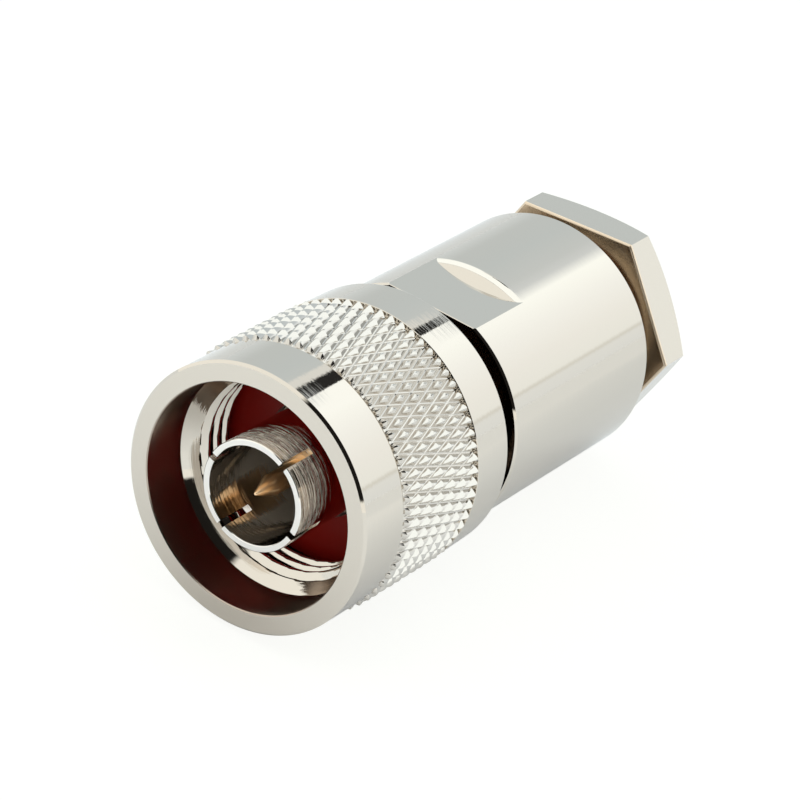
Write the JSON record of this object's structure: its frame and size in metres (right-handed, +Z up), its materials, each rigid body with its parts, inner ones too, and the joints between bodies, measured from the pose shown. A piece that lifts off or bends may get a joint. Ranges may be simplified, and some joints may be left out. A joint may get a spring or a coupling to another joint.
{
  "type": "n type connector",
  "caption": "Coaxial cable plug with a knurled screw coupling nut, slotted outer contact, centre pin, turned body with wrench flats and a hexagonal cable clamp nut.",
  "frame": {"origin": "on the plug's axis, in the plane of the outer contact's tip", "axes": "+Y along the axis from the mouth to the cable entry, +Z up and square to the wrench flats, the plug lying on its side"},
  "size_m": [0.0212, 0.045, 0.0212],
  "materials": {
    "nickel": "brass, bright nickel plated over fine turning marks",
    "contact_bronze": "phosphor bronze, polished plating",
    "gold": "brass, gold plated",
    "silicone": "dark red silicone rubber, satin",
    "ptfe": "white, satin",
    "rubber": "black, matt",
    "steel": "plain spring steel"
  },
  "bodies": {
    "shell": {"body": "nickel", "face_gasket": "silicone", "outer_contact": "contact_bronze", "front_insulator": "ptfe", "centre_pin": "gold", "rear_insulator": "ptfe", "braid_clamp": "nickel", "cable_gasket": "rubber"},
    "ring": {"snap_ring": "steel"},
    "nut": {"coupling_nut": "nickel"},
    "washer": {"thrust_washer": "steel"},
    "gland": {"clamp_nut": "nickel"}
  },
  "joints": [
    {"name": "nut_float", "type": "slide", "parent": "shell", "child": "ring", "axis": [0, 1, 0], "range_m": [0, 0.0006]},
    {"name": "nut_spin", "type": "hinge", "parent": "ring", "child": "nut", "pos_m": [0, 0.014, 0], "axis": [0, 1, 0], "continuous": true},
    {"name": "clamp_nut_travel", "type": "slide", "parent": "shell", "child": "washer", "axis": [0, 1, 0], "range_m": [-0.0021, 0.0031]},
    {"name": "clamp_nut_turn", "type": "hinge", "parent": "washer", "child": "gland", "pos_m": [0, 0.042, 0], "axis": [0, 1, 0], "range_deg": [-720, 1080]}
  ],
  "couplings": [
    {"joint": "clamp_nut_travel", "follows": "clamp_nut_turn", "m_per_rad": 0.00015915}
  ]
}
